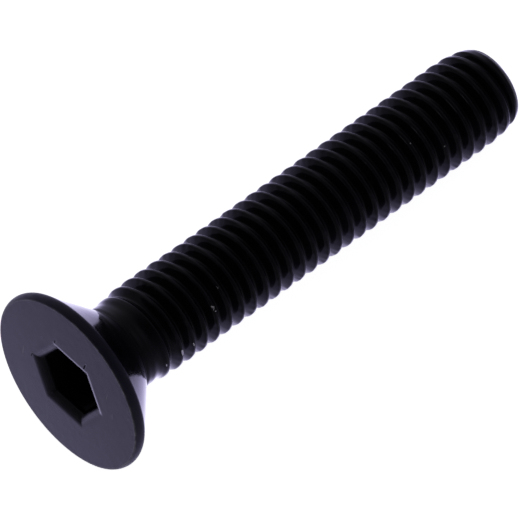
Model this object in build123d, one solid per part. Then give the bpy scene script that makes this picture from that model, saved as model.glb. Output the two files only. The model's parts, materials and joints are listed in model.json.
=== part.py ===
# Countersunk hexagon socket screw, M6 x 35, one turned and forged piece of steel.
# Millimetres. The screw lies on the plane Z = 0 on the rim of its head and on the start of
# its tapered point, face towards -Y and point towards +Y. The origin is the middle of the
# bottom of its bounding box.
#
# The profile below is drawn in the screw's own frame first: s runs along the axis from the
# flat face of the head (s = 0) to the point (s = length), r is the distance from the axis.
# The shank is drawn at the thread's major diameter. The fine 1 mm helical thread itself is
# part of the visual model and is not cut here.
import math
import os

from build123d import *

# ---- driving dimensions -----------------------------------------------------------------
length = 34.85            # face to point, nominal 35
thread_major_d = 5.90     # over the crests, nominal M6, tolerance 6g
neck_d = 5.52             # plain stretch left by the thread rolling, close to the pitch diameter
head_d = 11.89            # over the rounded rim
cone_sharp_d = 13.14      # where the 90 degree cone would meet the plane of the face
rim_r = 0.60              # rounding between the face and the cone
face_edge_r = 0.12        # small break on the edge of the face
neck_fillet_r = 0.25      # under the cone
neck_end_s = 4.45         # plain neck ends
thread_start_s = 5.80     # crests are at their full diameter from here on
point_taper_len = 2.60    # the crests fall away over this length
point_taper_r = 7.70      # on an arc of this radius
point_corner_r = 0.50     # rounding at the end of the point
socket_af = 4.02          # hexagon across flats
socket_depth = 2.50       # to the end of the full hexagon
socket_mouth_r = 0.68     # drawn-in rounding of the six mouth edges
socket_floor_deg = 120.0  # included angle of the conical bottom
socket_turn_deg = 0.5      # turn of the hexagon about the axis, from the screw's own X towards its own Y

major_r = thread_major_d / 2
neck_r = neck_d / 2
head_r = head_d / 2
cone_c = cone_sharp_d / 2  # on the cone, r + s = cone_c

# rim: an arc that starts on the face and runs tangent into the 45 degree cone
rim_cr = head_r - rim_r
rim_cs = cone_c - rim_cr - rim_r * math.sqrt(2)
rim_face_r = rim_cr + math.sqrt(rim_r**2 - rim_cs**2)
rim_tan = (rim_cr + rim_r * math.sin(math.pi / 4), rim_cs + rim_r * math.sin(math.pi / 4))

# point: an arc tangent to the shank
taper_s = length - point_taper_len
taper_cr = major_r - point_taper_r


def taper_radius(s):
    return taper_cr + math.sqrt(point_taper_r**2 - (s - taper_s) ** 2)


end_r = taper_radius(length)
neck_s = cone_c - neck_r


def mid_of_arc(cr, cs, rad, a0, a1):
    a = (a0 + a1) / 2
    return (cr + rad * math.cos(a), cs + rad * math.sin(a))


a_face = math.asin(-rim_cs / rim_r)
with BuildSketch(Plane.XZ) as profile:
    with BuildLine():
        Line((0, 0), (rim_face_r, 0))
        ThreePointArc((rim_face_r, 0), mid_of_arc(rim_cr, rim_cs, rim_r, a_face, math.pi / 4), rim_tan)
        Line(rim_tan, (neck_r, neck_s))
        Line((neck_r, neck_s), (neck_r, neck_end_s))
        Line((neck_r, neck_end_s), (major_r, thread_start_s))
        Line((major_r, thread_start_s), (major_r, taper_s))
        ThreePointArc(
            (major_r, taper_s),
            (taper_radius(taper_s + point_taper_len / 2), taper_s + point_taper_len / 2),
            (end_r, length),
        )
        Line((end_r, length), (0, length))
        Line((0, length), (0, 0))
    make_face()
    corners = profile.vertices()
    fillet([v for v in corners if abs(v.Z) < 1e-6 and abs(v.X - rim_face_r) < 1e-6], face_edge_r)
    fillet([v for v in profile.vertices() if abs(v.Z - neck_s) < 1e-6], neck_fillet_r)
    fillet([v for v in profile.vertices() if abs(v.Z - length) < 1e-6 and v.X > 1], point_corner_r)
body = revolve(profile.sketch, Axis.Z, 360)

# ---- hexagon socket ---------------------------------------------------------------------
hexagon = Plane.XY * Rot(0, 0, socket_turn_deg) * RegularPolygon(socket_af / 2, 6, major_radius=False)
pocket = extrude(hexagon, socket_depth)
cone_h = socket_af / 2 / math.tan(math.radians(socket_floor_deg / 2))
floor_cone = Pos(0, 0, socket_depth + cone_h / 2) * Cone(socket_af / 2, 0, cone_h)
body = body - pocket - floor_cone
mouth = [
    e
    for e in body.edges().filter_by(GeomType.LINE)
    if abs(e.position_at(0).Z) < 1e-6 and abs(e.position_at(1).Z) < 1e-6 and e.length < socket_af
]
body = fillet(mouth, socket_mouth_r)

# ---- lay it down ------------------------------------------------------------------------
# the floor is the common tangent of the rim's arc and the point's arc
s1, r1, q1 = rim_cs, rim_cr, rim_r
s2, r2, q2 = taper_s, taper_cr, point_taper_r
span, turn = math.hypot(s2 - s1, r2 - r1), math.atan2(r2 - r1, s2 - s1)
tilt = math.asin((q1 - q2) / span) - turn      # the axis falls towards the point by this
height = s1 * math.sin(tilt) + r1 * math.cos(tilt) + q1
# along Y, from the lowest corner of the face's edge to the uppermost corner of the point
laid = Pos(0, 0, height) * Rot(-(90 + math.degrees(tilt)), 0, 0) * body
box = laid.bounding_box()
shift_y = -(box.min.Y + box.max.Y) / 2
countersunk_socket_screw = Pos(0, shift_y, 0) * laid
countersunk_socket_screw.label = "countersunk_socket_screw"

box = countersunk_socket_screw.bounding_box()
print("tilt_deg", round(math.degrees(tilt), 5), "face centre", (0, round(shift_y, 5), round(height, 5)))
print("rim centre s, r", round(rim_cs, 4), round(rim_cr, 4), "face radius", round(rim_face_r, 4))
print("box", [round(c, 4) for c in (*box.min, *box.max)], "volume", round(countersunk_socket_screw.volume, 2))

os.makedirs("parts", exist_ok=True)
export_step(countersunk_socket_screw, "parts/countersunk_socket_screw.step")
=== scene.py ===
import json
import math

import bmesh
import bpy
import numpy as np
from mathutils import Matrix, Vector


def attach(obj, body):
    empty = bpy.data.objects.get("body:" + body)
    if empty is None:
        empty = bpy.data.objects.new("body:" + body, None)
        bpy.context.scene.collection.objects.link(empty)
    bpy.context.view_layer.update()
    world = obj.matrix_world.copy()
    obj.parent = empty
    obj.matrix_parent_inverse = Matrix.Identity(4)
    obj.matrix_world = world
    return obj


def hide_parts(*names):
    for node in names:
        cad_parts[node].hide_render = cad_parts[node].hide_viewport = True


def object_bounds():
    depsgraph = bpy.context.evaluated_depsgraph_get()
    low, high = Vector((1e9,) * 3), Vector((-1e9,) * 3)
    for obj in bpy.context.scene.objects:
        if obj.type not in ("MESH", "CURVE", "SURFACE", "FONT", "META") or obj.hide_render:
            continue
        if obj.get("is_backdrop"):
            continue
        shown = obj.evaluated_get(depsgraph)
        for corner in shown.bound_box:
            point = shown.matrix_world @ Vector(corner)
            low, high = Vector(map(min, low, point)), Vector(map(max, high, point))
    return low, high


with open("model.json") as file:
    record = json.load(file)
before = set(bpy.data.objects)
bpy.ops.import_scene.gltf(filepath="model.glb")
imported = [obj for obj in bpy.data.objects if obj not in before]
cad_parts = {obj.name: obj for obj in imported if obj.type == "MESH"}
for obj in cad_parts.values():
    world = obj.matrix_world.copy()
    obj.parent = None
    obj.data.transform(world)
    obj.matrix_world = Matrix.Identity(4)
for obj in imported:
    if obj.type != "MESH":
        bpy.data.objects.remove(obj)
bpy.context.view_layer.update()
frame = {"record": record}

MM = 0.001
record = frame["record"]
mounts = {m["name"]: m for m in record["mounts"]}
face_centre = np.array(mounts["hex_socket"]["pos_m"], float)
axis = np.array(mounts["thread"]["axis"], float)
axis /= np.linalg.norm(axis)
ex = np.array([1.0, 0.0, 0.0])
ey = np.cross(axis, ex)

# ---- the screw's dimensions, in millimetres, as in the CAD part ---------------------------
# s runs along the axis from the flat face of the head to the point, r from the axis
length = 34.85
rmaj, rroot, rneck = 2.95, 2.345, 2.775
head_r, cone_c, rim_r = 5.945, 6.57, 0.60
face_edge_r, neck_fillet_r = 0.12, 0.03
taper_len, taper_r, corner_r = 2.60, 7.70, 0.50
socket_a, socket_depth, mouth_r, mouth_d = 2.01, 2.50, 0.67, 0.54
socket_turn = math.radians(0.5)
pitch = 1.0
crest_s = 7.073 + (socket_turn + math.radians(152.46)) / (2 * math.pi)   # crest on column 0

N = 120            # columns round the screw
M = 20             # rows to a pitch
STEP = N // M


# ---- small tools --------------------------------------------------------------------------
def smoothstep(x):
    x = np.clip(x, 0, 1)
    return x * x * (3 - 2 * x)


def smin(a, b, k):
    h = np.clip(0.5 + 0.5 * (b - a) / k, 0, 1)
    return b * (1 - h) + a * h - k * h * (1 - h)


def smax(a, b, k):
    return -smin(-a, -b, k)


def waves(t, seed, lo, hi, count=9):
    """Smooth, fixed, uneven wave along t with wavelengths between lo and hi, about -1 to 1."""
    rng = np.random.RandomState(seed)
    out = np.zeros_like(np.asarray(t, float))
    for _ in range(count):
        wl = math.exp(rng.uniform(math.log(lo), math.log(hi)))
        out += rng.uniform(0.5, 1.0) * np.sin(2 * math.pi * t / wl + rng.uniform(0, 2 * math.pi))
    return out / (0.75 * math.sqrt(count / 2) * 1.7)


# ---- thread form --------------------------------------------------------------------------
CREST_HALF, CREST_OFF = 0.103, 0.014
LEAD_ROUND, TRAIL_ROUND = 0.085, 0.120
ROOT_ROUND = 0.155


def thread_form(u):
    """Radius over a pitch, u in pitches from the crest. The crest leans a little towards the point."""
    x = ((u - CREST_OFF + 0.5) % 1.0) - 0.5
    t = np.abs(x) * pitch
    flank = rmaj - (t - CREST_HALF) * math.tan(math.radians(60))
    r = smin(np.full_like(t, rmaj), flank, np.where(x > 0, TRAIL_ROUND, LEAD_ROUND))
    return smax(r, np.full_like(t, rroot), ROOT_ROUND)


taper_s = length - taper_len
taper_c = rmaj - taper_r


def envelope(s):
    """The rounded point."""
    x = np.clip(s - taper_s, 0, None)
    return np.where(s > taper_s, taper_c + np.sqrt(np.maximum(taper_r ** 2 - x * x, 0)), rmaj + 0.2)


# how far the thread is formed as it leaves the neck: outside the neck's radius (crest) and inside it (root)
def eased(s_points, values, soft=0.09):
    """The table drawn as a smooth curve, on a fine grid of s."""
    grid = np.arange(3.0, 10.0, 0.01)
    raw = np.interp(grid, s_points, values)
    bell = np.exp(-0.5 * (np.arange(-30, 31) * 0.01 / soft) ** 2)
    raw = np.concatenate([np.full(30, raw[0]), raw, np.full(30, raw[-1])])
    return grid, np.convolve(raw, bell / bell.sum(), "valid")


RUN_CREST = eased((4.30, 4.63, 5.07, 5.30, 5.54, 6.03, 6.57, 7.06, 7.50), (0.0, 0.08, 0.24, 0.56, 0.74, 0.85, 0.95, 0.98, 1.00))
RUN_ROOT = eased((4.20, 4.65, 5.10, 5.60, 6.10, 6.50), (0.0, 0.10, 0.22, 0.55, 0.80, 1.0))
RUN_FILL = eased((4.35, 4.75, 5.10, 5.60), (-0.02, -0.055, -0.09, -0.40))     # the neck widens before the first groove
RUN_LEAD = eased((4.60, 5.00, 5.35, 6.10), (0.20, 0.16, 0.08, 0.0))      # the first crests lie nearer the head


def shank_radius(s, turns):
    """Radius of the threaded shank. turns is the angle from column 0 in turns, unwrapped so that s - turns * pitch follows one groove."""
    u = (s + np.interp(s, *RUN_LEAD) - crest_s) / pitch - turns
    form = thread_form(u)
    w = np.where(form > rneck, np.interp(s, *RUN_CREST), np.interp(s, *RUN_ROOT))
    r = rneck + w * (form - rneck)
    r = smax(r, rneck + np.interp(s, *RUN_FILL), 0.03)
    r = r + 0.038 * np.exp(-((s - 3.92) / 0.22) ** 2)                # a low swelling round the neck
    r = r + 0.035 * smoothstep((s - 4.5) / 0.8) * (1 - smoothstep((s - 6.6) / 5.0))
    env = envelope(s)
    return smin(r, env, 0.05)


def warp_table():
    half = np.array([0, 0.035, 0.065, 0.095, 0.130, 0.190, 0.260, 0.330, 0.385, 0.430, 0.5])
    pos = np.concatenate([-half[::-1][:-1], half])
    nom = np.linspace(-0.5, 0.5, len(pos))
    return nom, pos


warp_nom, warp_pos = warp_table()

# ---- the mesh -------------------------------------------------------------------------------
verts, faces = [], []          # verts as (r, phi, s) in mm and radians


def add(r, phi, s):
    verts.append((float(r), float(phi), float(s)))
    return len(verts) - 1


cols = np.arange(N)
phi0 = socket_turn + 2 * math.pi * cols / N


def ring(r, s, phi=None):
    r = np.broadcast_to(np.asarray(r, float), (N,))
    s = np.broadcast_to(np.asarray(s, float), (N,))
    phi = phi0 if phi is None else phi
    return [add(r[i], phi[i], s[i]) for i in range(N)]


def bridge(a, b):
    """Quads between two rings, b further along towards the point on the outside of the screw."""
    for i in range(N):
        j = (i + 1) % N
        faces.append((a[i], a[j], b[j], b[i]))


def hexagon(apothem, corner):
    """Radius and angle of N points round a hexagon with rounded corners."""
    per = N // 6
    rs, ps = np.zeros(N), np.zeros(N)
    centre = (apothem - corner) / math.cos(math.radians(30))
    n_arc = 3
    t = math.radians(30)
    x0, y0 = centre + corner * math.cos(t), corner * math.sin(t)
    # the same point on the next corner, mirrored in the line at 30 degrees
    a2 = math.radians(60)
    x1 = x0 * math.cos(a2) + y0 * math.sin(a2)
    y1 = x0 * math.sin(a2) - y0 * math.cos(a2)
    for k in range(6):
        for m in range(per):
            # m = 0 is on the corner
            base = a2 * k
            if m <= n_arc or m >= per - n_arc:
                q = m if m <= n_arc else m - per
                x = centre + corner * math.cos(t * q / n_arc)
                y = corner * math.sin(t * q / n_arc)
                if q < 0:
                    base += a2
            else:
                f = (m - n_arc) / (per - 2 * n_arc)
                x, y = x0 + (x1 - x0) * f, y0 + (y1 - y0) * f
            rs[k * per + m] = math.hypot(x, y)
            ps[k * per + m] = base + math.atan2(y, x)
    return rs, ps + socket_turn


# socket: conical floor, corners, walls, drawn-in mouth
floor_slope = 1 / math.tan(math.radians(60))
apex_s = socket_depth + socket_a * floor_slope
hex_r, hex_p = hexagon(socket_a, 0.09)
circ_p = hex_p
centre_socket = add(0, 0, apex_s - 0.02)
inner = []
for r in (0.12, 0.45, 0.9, 1.4, 1.8, 1.96):
    inner.append(ring(r, apex_s - r * floor_slope - (0.02 if r < 0.2 else 0), circ_p))
inner.append(ring(np.minimum(hex_r - 0.03, 2.005), socket_depth, circ_p))
inner.append(ring(hex_r - 0.02, socket_depth - 0.004, hex_p))
inner.append(ring(hex_r, socket_depth - 0.03, hex_p))
for d in (2.40, 2.05, 1.65, 1.25, 0.90):
    inner.append(ring(hex_r, d, hex_p))
mouth_n = 12
for k in range(mouth_n + 1):
    t = math.pi / 2 * k / mouth_n
    a = socket_a + mouth_r * (1 - math.cos(t))
    d = mouth_d * (1 - math.sin(t))
    hr, hp = hexagon(a, 0.09 + 0.05 * (1 - math.cos(t)))
    inner.append(ring(hr, d, hp))
hr, hp = hexagon(socket_a + mouth_r + 0.02, 0.14)
inner.append(ring(hr, 0, hp))
# the flat face, from the hexagon to the round edge
rim_cr = head_r - rim_r
rim_cs = cone_c - rim_cr - rim_r * math.sqrt(2)
fe_r = rim_cr + math.sqrt((rim_r - face_edge_r) ** 2 - (face_edge_r - rim_cs) ** 2)
hr2, hp2 = hexagon(socket_a + mouth_r + 0.10, 0.2)
inner.append(ring(hr2, 0, hp2))
turned = np.unwrap(hp2)
for k, (rr, w) in enumerate(((3.20, 0.35), (3.50, 0.75), (3.80, 1.0), (4.1, 1.0), (4.45, 1.0), (4.8, 1.0), (5.15, 1.0), (5.45, 1.0), (5.65, 1.0), (fe_r - 0.05, 1.0))):
    rad = hr2 * (1 - w) + rr * w
    rad = np.maximum(rad, hr2 + 0.05 * (k + 1))
    if w == 1.0:
        rad = np.full(N, rr)
    inner.append(ring(rad, 0, turned * (1 - w) + (socket_turn + 2 * math.pi * cols / N) * w))
for i in range(N):
    faces.append((centre_socket, inner[0][i], inner[0][(i + 1) % N])[::-1])
for a, b in zip(inner, inner[1:]):
    bridge(b, a)       # these run outward, so the order is turned round

outer = [inner[-1]]
a_face = math.atan2(face_edge_r - rim_cs, fe_r - rim_cr)      # where the edge's rounding meets the rim
for k in range(7):
    t = -math.pi / 2 + (a_face + math.pi / 2) * k / 6
    outer.append(ring(fe_r + face_edge_r * math.cos(t), face_edge_r + face_edge_r * math.sin(t)))
for k in range(1, 15):
    t = a_face + (math.pi / 4 - a_face) * k / 14
    outer.append(ring(rim_cr + rim_r * math.cos(t), rim_cs + rim_r * math.sin(t)))
r_tan, s_tan = rim_cr + rim_r * math.sqrt(0.5), rim_cs + rim_r * math.sqrt(0.5)
neck_at = rneck + 0.032
fil_c_r = neck_at + neck_fillet_r
fil_c_s = cone_c - fil_c_r + neck_fillet_r * math.sqrt(2)
r_fil = fil_c_r - neck_fillet_r * math.sqrt(0.5)
outer.append(ring(r_tan - 0.03, s_tan + 0.03))
for k in range(1, 9):
    r = r_tan - 0.03 + (r_fil + 0.02 - r_tan + 0.03) * k / 9
    outer.append(ring(r, cone_c - r))
for k in range(0, 6):
    t = math.pi / 4 * (1 - k / 5)
    outer.append(ring(fil_c_r - neck_fillet_r * math.cos(t), fil_c_s - neck_fillet_r * math.sin(t)))
# the last ring before the helical rows
s0 = crest_s - 3 * pitch - 11 * pitch / M
n_rows = 610
s1 = s0 + n_rows * pitch / M
assert s0 > fil_c_s + 0.005
for s in (0.7 * fil_c_s + 0.3 * s0, 0.3 * fil_c_s + 0.7 * s0, s0):
    outer.append(ring(shank_radius(np.full(N, s), cols / N), s))
for a, b in zip(outer, outer[1:]):
    bridge(a, b)


# helical rows: row q on column i lies at s0 + (i / STEP + q) rows
def row_place(i, q):
    """Nominal s, and s after the rows are drawn towards the crest and root corners."""
    nominal = s0 + (i / STEP + q) * pitch / M
    u = (((nominal - crest_s) / pitch - i / N) + 0.5) % 1.0 - 0.5
    shift = (np.interp(u, warp_nom, warp_pos) - u) * pitch
    keep = smoothstep((nominal - s0) / 0.35) * smoothstep((s1 - nominal) / 0.35)
    return nominal + shift * keep


first = outer[-1]
index = {}
end_ring = [None] * N
grid_i, grid_q = [], []
for i in range(N):
    q_lo = math.floor(-i / STEP) + 1
    q_hi = math.ceil(n_rows - i / STEP) - 1
    for q in range(q_lo, q_hi + 1):
        grid_i.append(i)
        grid_q.append(q)
gi, gq = np.array(grid_i), np.array(grid_q)
gs = row_place(gi, gq)
turns = gi / N
gr = shank_radius(gs, turns)
# small unevenness left by the rolling: along the helix, stronger on the crests
along = (gi / N + (np.round((gs - crest_s) / pitch - turns))) * 2 * math.pi * rmaj
height = np.clip((gr - rroot) / (rmaj - rroot), 0, 1)
body_zone = smoothstep((gs - 5.0) / 1.5) * smoothstep((s1 - gs) / 0.5)
gr = gr + body_zone * height ** 3 * 0.007 * waves(along, 11, 0.5, 4.0)
gs = gs + body_zone * height ** 2 * (0.012 * waves(along, 12, 0.5, 2.0) + 0.010 * waves(along, 13, 2.0, 9.0))
for i, q, r, s in zip(grid_i, grid_q, gr, gs):
    index[(i, q)] = add(r, phi0[i], s)
end_ring = ring(shank_radius(np.full(N, s1), cols / N), s1)


def at(i, q):
    """Vertex of row q on column i, where i may be N, which is column 0 one pitch on; None outside."""
    if i == N:
        i, q = 0, q + M
    if abs(i / STEP + q) < 1e-9:
        return first[i]
    if abs(i / STEP + q - n_rows) < 1e-9:
        return end_ring[i]
    return index.get((i, q))


for i in range(N):
    q_from = math.floor(-i / STEP) - 1
    q_to = math.ceil(n_rows - i / STEP) + 1
    for q in range(q_from, q_to + 1):
        a, b, c, d = at(i, q), at(i + 1, q), at(i + 1, q + 1), at(i, q + 1)
        got = [v for v in (a, b, c, d) if v is not None]
        if len(got) == 4:
            faces.append((a, b, c, d))
    # along the first ring
    j = (i + 1) % N
    lo = math.floor(-i / STEP) + 1          # lowest row inside, on this column
    lo_b = math.floor(-(i + 1) / STEP) + 1  # and on the next
    ra, rb = first[i], first[j]
    if i % STEP == 0:
        q = -(i // STEP)
        faces.append((ra, rb, at(i + 1, q)))
    elif (i + 1) % STEP == 0:
        faces.append((ra, rb, at(i + 1, lo), at(i, lo)))
    else:
        faces.append((ra, rb, at(i + 1, lo), at(i, lo)))
    # along the last ring
    ea, eb = end_ring[i], end_ring[j]
    hi = math.ceil(n_rows - i / STEP) - 1
    if i % STEP == 0:
        faces.append((at(i, hi), at(i + 1, hi), eb, ea))
    elif (i + 1) % STEP == 0:
        q = n_rows - (i + 1) // STEP
        faces.append((at(i, q), eb, ea))
    else:
        faces.append((at(i, hi), at(i + 1, hi), eb, ea))

# the rounded end of the point
end = [end_ring]
corner_s = length - corner_r
corner_c = taper_c + math.sqrt((taper_r - corner_r) ** 2 - (corner_s - taper_s) ** 2)
t0 = math.asin((corner_s - taper_s) / (taper_r - corner_r))
for k in range(0, 13):
    t = t0 + (math.pi / 2 - t0) * k / 12
    s = corner_s + corner_r * math.sin(t)
    if s > s1 + 0.015:
        base = shank_radius(np.full(N, min(s, length - 0.001)), cols / N)
        end.append(ring(smin(base, np.full(N, corner_c + corner_r * math.cos(t)), 0.06), s))
for r in (corner_c - 0.05, corner_c - 0.25, 1.4, 0.9, 0.4):
    end.append(ring(r, length))
for a, b in zip(end, end[1:]):
    bridge(a, b)
centre_end = add(0, 0, length)
for i in range(N):
    faces.append((end[-1][i], end[-1][(i + 1) % N], centre_end))

V = np.array(verts)
# the head is very slightly out of square with the shank, and its face very slightly domed
e1_at, e2_at = math.radians(-62.466), math.radians(27.534)
y1, y2 = V[:, 0] * np.cos(V[:, 1] - e1_at), V[:, 0] * np.cos(V[:, 1] - e2_at)
head_part = 1 - smoothstep((V[:, 2] - 0.4) / 1.4)
dome = (1 - smoothstep(V[:, 2] / 2.0)) * 0.055 * (1 - np.minimum(V[:, 0] / fe_r, 1) ** 2)
side = smoothstep((V[:, 2] - 0.6) / 1.0) * (1 - smoothstep((V[:, 2] - 3.4) / 0.4))
near_neck = smoothstep((V[:, 2] - 4.0) / 0.8) * (1 - smoothstep((V[:, 2] - 8.0) / 5.0))
V[:, 2] += head_part * (0.0045 * y1 - 0.0050 * y2 + 0.018) - dome
V[:, 0] += side * 0.020
local = np.stack([V[:, 0] * np.cos(V[:, 1]), V[:, 0] * np.sin(V[:, 1]), V[:, 2]], 1) * MM
# the socket was punched slightly off the middle
off = (1 - smoothstep((V[:, 0] - 3.0) / 0.9)) * (V[:, 2] < 3.0) * 0.075 * MM
local[:, 0] += off * math.cos(e1_at)
local[:, 1] += off * math.sin(e1_at)
# and neither the head nor the first threads lie quite on the shank's axis
off = (side * 0.020 - near_neck * 0.016) * MM
local[:, 0] += off * math.cos(e2_at)
local[:, 1] += off * math.sin(e2_at)
world = face_centre + local[:, :1] * ex + local[:, 1:2] * ey + local[:, 2:3] * axis

mesh = bpy.data.meshes.new("countersunk_screw_body")
mesh.from_pydata(world.tolist(), [], faces)
mesh.validate()
bm = bmesh.new()
bm.from_mesh(mesh)
bmesh.ops.recalc_face_normals(bm, faces=bm.faces)
if bm.calc_volume(signed=True) < 0:
    bmesh.ops.reverse_faces(bm, faces=bm.faces)
bm.to_mesh(mesh)
bm.free()
mesh.update()
screw = bpy.data.objects.new("countersunk_screw_body", mesh)
bpy.context.scene.collection.objects.link(screw)
mesh.polygons.foreach_set("use_smooth", np.ones(len(mesh.polygons), bool))

# ---- material -------------------------------------------------------------------------------
class Net:
    """Short calls for building a node tree."""

    def __init__(self, tree):
        self.tree = tree

    def new(self, kind, **props):
        n = self.tree.nodes.new(kind)
        for k, v in props.items():
            setattr(n, k, v)
        return n

    def put(self, socket, value):
        if isinstance(value, bpy.types.NodeSocket):
            self.tree.links.new(value, socket)
        elif value is not None:
            socket.default_value = value

    def math(self, op, a, b=None, c=None):
        n = self.new("ShaderNodeMath", operation=op)
        for socket, v in zip(n.inputs, (a, b, c)):
            self.put(socket, v)
        return n.outputs[0]

    def vec(self, op, a, b=None, scale=None):
        n = self.new("ShaderNodeVectorMath", operation=op)
        self.put(n.inputs[0], a)
        self.put(n.inputs[1], b)
        if scale is not None:
            self.put(n.inputs["Scale"], scale)
        return n.outputs["Value"] if op in ("DOT_PRODUCT", "LENGTH") else n.outputs["Vector"]

    def ease(self, x, lo, hi, a=0.0, b=1.0, kind="SMOOTHSTEP"):
        n = self.new("ShaderNodeMapRange", interpolation_type=kind)
        for name, v in zip(("Value", "From Min", "From Max", "To Min", "To Max"), (x, lo, hi, a, b)):
            self.put(n.inputs[name], v)
        return n.outputs["Result"]

    def band(self, x, lo, hi, soft):
        return self.math("MULTIPLY", self.ease(x, lo - soft, lo + soft), self.ease(x, hi - soft, hi + soft, 1.0, 0.0))

    def noise(self, vector, scale, detail=2.0, rough=0.5):
        n = self.new("ShaderNodeTexNoise")
        self.put(n.inputs["Vector"], vector)
        if scale is not None:
            self.put(n.inputs["Scale"], scale)
        self.put(n.inputs["Detail"], detail)
        self.put(n.inputs["Roughness"], rough)
        return n.outputs["Fac"]

    def mix(self, f, a, b):
        n = self.new("ShaderNodeMix", data_type="FLOAT")
        for i, v in ((0, f), (2, a), (3, b)):
            self.put(n.inputs[i], v)
        return n.outputs[0]

    def blend(self, f, a, b):
        n = self.new("ShaderNodeMix", data_type="RGBA")
        for i, v in ((0, f), (6, a), (7, b)):
            self.put(n.inputs[i], v)
        return n.outputs[2]


mat = bpy.data.materials.new("black_oxide_steel")
mat.use_nodes = True
net = Net(mat.node_tree)
bsdf = mat.node_tree.nodes["Principled BSDF"]
# place on the screw in millimetres from the middle of the face: along the axis and out from it
here = net.new("ShaderNodeTexCoord").outputs["Object"]
place_mm = net.vec("SCALE", net.vec("SUBTRACT", here, tuple(face_centre)), scale=1000.0)
along_s = net.vec("DOT_PRODUCT", place_mm, tuple(axis))
out_r = net.vec("LENGTH", net.vec("SUBTRACT", place_mm, net.vec("SCALE", tuple(axis), scale=along_s)))

coarse = net.noise(place_mm, 0.55, 3.0, 0.6)
medium = net.noise(place_mm, 2.2, 3.0, 0.55)
fine = net.noise(place_mm, 9.0, 3.0, 0.6)

shank_zone = net.ease(along_s, 3.7, 4.0)
crest_zone = net.math("MULTIPLY", net.ease(out_r, 2.87, 2.94), net.ease(along_s, 5.0, 5.6))
rim_zone = net.math("MULTIPLY", net.ease(out_r, 5.66, 5.80), net.ease(along_s, 0.55, 1.05, 1.0, 0.0))
face_zone = net.math("MULTIPLY", net.ease(along_s, 0.02, 0.25, 1.0, 0.0), net.ease(out_r, 2.6, 3.1))
edge_line = net.math("MULTIPLY", net.band(out_r, 5.72, 5.84, 0.03), net.ease(along_s, 0.03, 0.12, 1.0, 0.0))


def mark(phi_deg, r, s, half_t, half_s, turn_deg=0.0, depth=0.35, on_face=False):
    """Soft spot on the surface: half sizes in millimetres along and across, turned by turn_deg."""
    phi = math.radians(phi_deg)
    radial = math.cos(phi) * ex + math.sin(phi) * ey
    round_it = -math.sin(phi) * ex + math.cos(phi) * ey
    p, q, n = (round_it, radial, axis) if on_face else (round_it, axis, radial)
    c, w = math.cos(math.radians(turn_deg)), math.sin(math.radians(turn_deg))
    u, v = p * c + q * w, q * c - p * w
    centre = r * radial + s * axis
    d = net.vec("SUBTRACT", place_mm, tuple(centre))
    parts = [net.vec("DOT_PRODUCT", d, tuple(vector / size)) for vector, size in ((u, half_t), (v, half_s), (n, depth))]
    total = net.math("MULTIPLY", parts[0], parts[0])
    for one in parts[1:]:
        total = net.math("MULTIPLY_ADD", one, one, total)
    return net.ease(total, 0.25, 1.0, 1.0, 0.0)


def on_face(e1_mm, e2_mm):
    """Polar place of a point on the face."""
    x = e1_mm * math.cos(e1_at) + e2_mm * math.cos(e2_at)
    y = e1_mm * math.sin(e1_at) + e2_mm * math.sin(e2_at)
    return math.degrees(math.atan2(y, x)), math.hypot(x, y)


def scratch(a, b, width):
    """Scratch on the face between two points."""
    mid = ((a[0] + b[0]) / 2, (a[1] + b[1]) / 2)
    phi, r = on_face(*mid)
    way = math.degrees(math.atan2(b[1] - a[1], b[0] - a[0])) + math.degrees(e1_at)     # in the local frame
    return mark(phi, r, 0.0, math.hypot(b[0] - a[0], b[1] - a[1]) / 2 + 0.03, width, phi + 90 - way, 0.3, True)


def joined(masks):
    out = masks[0]
    for one in masks[1:]:
        out = net.math("MAXIMUM", out, one)
    return out


# small nicks in the crests, where the bare steel shows, and scratches on the face
nicks = joined([
    mark(-37.5, 2.93, 9.38, 0.15, 0.065, 35.0),
    mark(-36.0, 2.93, 9.42, 0.17, 0.035, -35.0),
    mark(-31.0, 2.93, 9.50, 0.12, 0.035, 80.0),
    mark(-8.0, 2.93, 6.52, 0.30, 0.095, 8.0),
    mark(-3.5, 2.88, 5.30, 0.13, 0.045, 8.0),
    mark(-8.5, 2.93, 7.42, 0.16, 0.045, 12.0),
    mark(-53.0, 2.93, 10.28, 0.05, 0.04),
    mark(-60.0, 2.93, 26.37, 0.05, 0.04),
    mark(-33.0, 2.93, 28.35, 0.05, 0.04),
])
dark_cuts = joined([
    scratch((2.95, -0.18), (3.55, -0.32), 0.075),
    scratch((-1.62, -2.60), (-1.22, -2.70), 0.05),
    scratch((1.85, -2.40), (2.13, -2.52), 0.05),
])
pale_cuts = joined([
    scratch((-2.6, -2.9), (-1.6, -3.4), 0.022),
    scratch((2.2, 3.2), (2.7, 2.85), 0.022),
    scratch((2.95, 2.1), (3.6, 1.8), 0.022),
])

# colour: uneven black oxide, paler and duller round the rim of the head (the paler colour there is partly the rim's own
# finish and partly a painted sheen standing in for its brighter reflection), rubbed along the edges, and a painted
# lavender highlight on the rounded edge of the point
oxide_and_rim_sheen = net.blend(net.ease(coarse, 0.36, 0.64), (0.0010, 0.0010, 0.0022, 1), (0.0034, 0.0031, 0.0056, 1))
oxide_and_rim_sheen = net.blend(net.math("MULTIPLY", net.ease(fine, 0.45, 0.75), 0.35), oxide_and_rim_sheen, (0.0060, 0.0056, 0.0085, 1))
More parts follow.
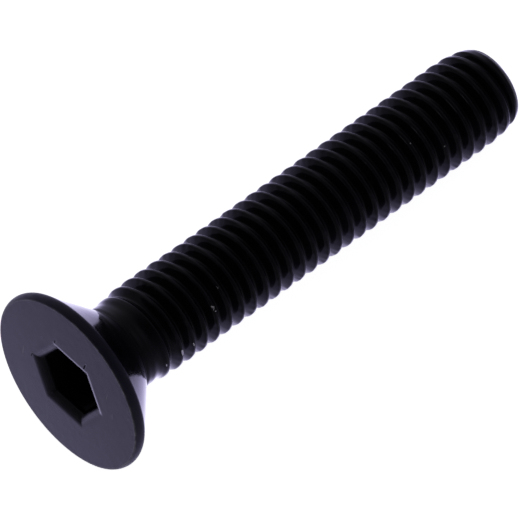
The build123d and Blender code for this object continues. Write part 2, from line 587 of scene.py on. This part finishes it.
# painted sheen: the paler, bluish colour round the rim stands partly for a duller finish and partly for the rim's
# brighter reflection
oxide_and_rim_sheen = net.blend(net.math("MULTIPLY", rim_zone, net.ease(medium, 0.2, 0.8, 0.7, 1.0)), oxide_and_rim_sheen, (0.0110, 0.0100, 0.0250, 1))
rub = net.math("MULTIPLY", crest_zone, net.ease(medium, 0.50, 0.72, 0.0, 0.45))
oxide_and_rim_sheen = net.blend(rub, oxide_and_rim_sheen, (0.0090, 0.0085, 0.0110, 1))
oxide_and_rim_sheen = net.blend(net.math("MULTIPLY", dark_cuts, 0.8), oxide_and_rim_sheen, (0.002, 0.002, 0.0025, 1))
# painted highlight: a pale lavender, partly metallic colour along the rounded edge of the point, standing in for the
# bright lavender reflection there
point_edge_highlight = net.math("MULTIPLY", net.ease(along_s, 34.38, 34.80, 0.0, 0.36), net.ease(out_r, 1.80, 2.35))
bare_steel_and_point_highlight = net.math("MAXIMUM", point_edge_highlight, net.math("MULTIPLY", edge_line, net.ease(medium, 0.38, 0.62, 0.015, 0.07)))
bare_steel_and_point_highlight = net.math("MAXIMUM", bare_steel_and_point_highlight, net.math("MAXIMUM", nicks, net.math("MULTIPLY", pale_cuts, 0.10)))
# the pale lavender is the painted highlight on the point's edge; the grey is bare steel in the nicks, scratches and
# worn face edge
base_colour_with_painted_sheen = net.blend(point_edge_highlight, net.blend(bare_steel_and_point_highlight, oxide_and_rim_sheen, (0.90, 0.88, 0.87, 1)), (0.62, 0.60, 0.98, 1))
net.put(bsdf.inputs["Base Color"], base_colour_with_painted_sheen)
net.put(bsdf.inputs["Metallic"], net.math("MULTIPLY", bare_steel_and_point_highlight, 0.95))

rough = net.mix(shank_zone, 0.09, 0.10)
rough = net.mix(face_zone, rough, 0.22)
rough = net.mix(net.math("MULTIPLY", net.band(along_s, 0.01, 0.35, 0.03), net.ease(out_r, 3.2, 3.4, 1.0, 0.0)), rough, 0.34)
rough = net.mix(rim_zone, rough, 0.50)
rough = net.math("MULTIPLY", rough, net.ease(medium, 0.3, 0.7, 0.88, 1.14, "LINEAR"))
rough = net.math("MULTIPLY_ADD", fine, 0.03, net.math("SUBTRACT", rough, 0.015))
rough = net.mix(dark_cuts, rough, 0.8)
rough = net.mix(bare_steel_and_point_highlight, rough, 0.42)
net.put(bsdf.inputs["Roughness"], rough)

# relief in millimetres: soft hammering on the face, fine grain everywhere, cuts and nicks
relief = net.math("MULTIPLY", net.math("SUBTRACT", medium, 0.5), net.mix(face_zone, 0.004, 0.008))
relief = net.math("MULTIPLY_ADD", net.math("SUBTRACT", fine, 0.5), net.mix(rim_zone, 0.0012, 0.004), relief)
relief = net.math("MULTIPLY_ADD", dark_cuts, -0.05, relief)
relief = net.math("MULTIPLY_ADD", nicks, -0.022, relief)
bump = net.new("ShaderNodeBump")
bump.inputs["Strength"].default_value = 1.0
bump.inputs["Distance"].default_value = MM
net.put(bump.inputs["Height"], relief)
net.put(bsdf.inputs["Normal"], bump.outputs["Normal"])
bsdf.inputs["IOR"].default_value = 1.5
bsdf.inputs["Specular IOR Level"].default_value = 0.5
bsdf.inputs["Specular Tint"].default_value = (1.0, 1.0, 1.0, 1)
mesh.materials.append(mat)

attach(screw, "root")
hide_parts("countersunk_socket_screw")

# ---- floor, light, camera ---------------------------------------------------------------------
size = 6.0
fm = bpy.data.meshes.new("floor")
fm.from_pydata([(-size, -size, 0), (size, -size, 0), (size, size, 0), (-size, size, 0)], [], [(0, 1, 2, 3)])
floor = bpy.data.objects.new("floor", fm)
bpy.context.scene.collection.objects.link(floor)
floor_mat = bpy.data.materials.new("pale_floor")
floor_mat.use_nodes = True
fb = floor_mat.node_tree.nodes["Principled BSDF"]
fb.inputs["Base Color"].default_value = (0.80, 0.80, 0.80, 1)
fb.inputs["Roughness"].default_value = 0.9
fb.inputs["Specular IOR Level"].default_value = 0.0
fb.inputs["Emission Color"].default_value = (1.0, 1.0, 1.0, 1)
fb.inputs["Emission Strength"].default_value = 0.97
fm.materials.append(floor_mat)
floor.visible_glossy = False
floor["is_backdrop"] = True

azimuth, elevation = math.radians(46.49684), math.radians(55.61639)
out = np.array([math.sin(azimuth) * math.cos(elevation), -math.cos(azimuth) * math.cos(elevation), math.sin(elevation)])

# The studio: a broad pale glow from low behind the screw, fading evenly to a dim room in front of it and above.
# Its middle is a fixed direction of the row frame.
glow = Vector((-0.410, 0.389, -0.825)).normalized()
beam = Vector((-0.4354, 0.2570, -0.8628)).normalized()
world_data = bpy.data.worlds.new("studio")
bpy.context.scene.world = world_data
world_data.use_nodes = True
world_data.node_tree.nodes.clear()
sky = Net(world_data.node_tree)
way = sky.new("ShaderNodeTexCoord").outputs["Generated"]
ramp = sky.new("ShaderNodeValToRGB")
sky.put(ramp.inputs["Fac"], sky.math("MULTIPLY_ADD", sky.vec("DOT_PRODUCT", way, tuple(beam)), 0.5, 0.5))
NEAR_TINT, FAR_TINT = (0.95, 0.92, 1.13), (0.875, 0.805, 1.33)
stops = [(180, 0.018), (155, 0.020), (140, 0.032), (127, 0.050), (115, 0.062), (100, 0.070), (88, 0.082), (77, 0.120),
         (66, 0.215), (56, 0.340), (47, 0.450), (38, 0.84), (28, 1.42), (20, 1.66), (10, 1.62), (0, 1.58)]
els = ramp.color_ramp.elements
for deg, v in stops:
    f = min(max((30 - deg) / 15, (deg - 66) / 20, 0), 1)
    e = els[0] if deg == 180 else els[-1] if deg == 0 else els.new(0.5 + 0.5 * math.cos(math.radians(deg)))
    e.color = tuple(v * (p * f + q * (1 - f)) for p, q in zip(NEAR_TINT, FAR_TINT)) + (1,)
light = ramp.outputs["Color"]


def lobe(off_deg, round_deg):
    """Direction off_deg away from the glow's middle, turned round it from the camera's right."""
    t, z = math.radians(off_deg), math.radians(round_deg)
    side = Vector((0.6884, 0.7253, 0.0))
    over = Vector((-0.5985, 0.5681, 0.5648))
    return math.cos(t) * glow + math.sin(t) * (math.cos(z) * side + math.sin(z) * over)


for direction, sharp, amount, tone in (
        (lobe(92, 110), 4.0, 0.11, (0.98, 0.93, 1.09)),
        (lobe(25, 75), 15.0, 0.14, (0.95, 0.92, 1.13)),
        (Vector((0.2654, 0.8636, 0.4309)), 16.0, 0.105, (0.95, 0.92, 1.13)),
        (Vector((-0.7397, 0.6397, 0.2055)), 15.0, 0.150, (0.95, 0.92, 1.13)),
        (Vector((0.9003, 0.1859, -0.3925)), 15.0, 0.060, (0.95, 0.92, 1.13)),
        (lobe(45, 190), 12.0, 0.10, (0.90, 0.84, 1.26))):
    near = sky.math("EXPONENT", sky.math("MULTIPLY_ADD", sky.vec("DOT_PRODUCT", way, tuple(direction)), sharp, -sharp))
    light = sky.vec("ADD", light, sky.vec("SCALE", tuple(amount * c for c in tone), scale=near))
# the side that the screw points to is dimmer
dim = sky.math("EXPONENT", sky.math("MULTIPLY_ADD", sky.vec("DOT_PRODUCT", way, (0.05, 0.985, 0.05)), 3.2, -3.2))
light = sky.vec("SCALE", light, scale=sky.math("MULTIPLY_ADD", dim, -0.74, 1.0))
# a small bright patch in front of the head
near = sky.math("EXPONENT", sky.math("MULTIPLY_ADD", sky.vec("DOT_PRODUCT", way, (0.0, -0.9911, 0.1328)), 250.0, -250.0))
light = sky.vec("ADD", light, sky.vec("SCALE", (1.25, 1.20, 1.45), scale=near))
bg = sky.new("ShaderNodeBackground")
sky.put(bg.inputs["Color"], light)
bg.inputs["Strength"].default_value = 1.0
sky.put(sky.new("ShaderNodeOutputWorld").inputs["Surface"], bg.outputs[0])

soft = bpy.data.lights.new("overhead_softbox", "AREA")
soft.shape = "DISK"
soft.size = 0.5
soft.energy = 0.25
soft.color = (1.0, 0.99, 0.98)
soft_ob = bpy.data.objects.new("overhead_softbox", soft)
bpy.context.scene.collection.objects.link(soft_ob)
soft_ob.location = (-0.05, 0.05, 0.45)
soft_ob.visible_glossy = False

cam_data = bpy.data.cameras.new("camera")
cam_data.lens = 654.68
cam_data.sensor_width = 36.0
cam_data.clip_start, cam_data.clip_end = 0.05, 20.0
cam = bpy.data.objects.new("camera", cam_data)
bpy.context.scene.collection.objects.link(cam)
up = np.array([-math.sin(azimuth) * math.sin(elevation), math.cos(azimuth) * math.sin(elevation), math.cos(elevation)])
right = np.array([math.cos(azimuth), math.sin(azimuth), 0.0])
place = np.array([229.863742, -219.809683, 466.343584]) * MM
m = Matrix.Identity(4)
for row in range(3):
    m[row][0], m[row][1], m[row][2], m[row][3] = right[row], up[row], out[row], place[row]
cam.matrix_world = m
bpy.context.scene.camera = cam
bpy.context.scene.view_settings.view_transform = "Standard"
bpy.context.scene.view_settings.look = "None"

lo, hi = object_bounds()
